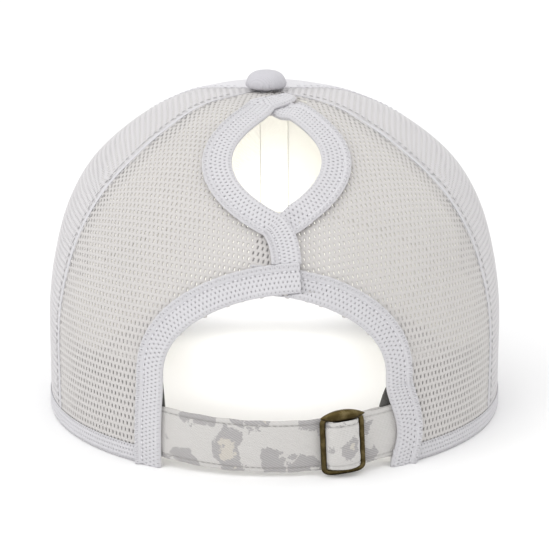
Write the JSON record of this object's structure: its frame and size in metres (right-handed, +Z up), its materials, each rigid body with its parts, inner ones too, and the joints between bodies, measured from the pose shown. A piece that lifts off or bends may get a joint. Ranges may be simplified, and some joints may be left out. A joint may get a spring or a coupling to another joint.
{
  "type": "trucker cap",
  "caption": "Curved-peak trucker cap with net side and rear panels, a ponytail hole over the rear arch, and a cloth strap with a metal slide buckle.",
  "frame": {"origin": "middle of the plan box of the whole cap, on the surface it rests on", "axes": "+X to the wearer's left, +Y towards the back of the head, +Z up; the peak points along -Y"},
  "size_m": [0.1746, 0.2652, 0.1292],
  "materials": {
    "net": "fine open polyester net, off-white with a lilac tint",
    "camo_cloth": "twill with pale grey and beige blotches",
    "plain_cloth": "matte cotton twill, off-white",
    "brass": "antique brass, satin"
  },
  "bodies": {
    "root": {"rear_panel_left": "net", "rear_panel_right": "net", "side_panel_left": "net", "side_panel_right": "net", "front_panel_left": "plain_cloth", "front_panel_right": "plain_cloth", "sweatband": "camo_cloth", "strap_long": "camo_cloth", "strap_short": "camo_cloth", "buckle": "brass", "button": "camo_cloth", "peak": "camo_cloth"}
  },
  "joints": []
}
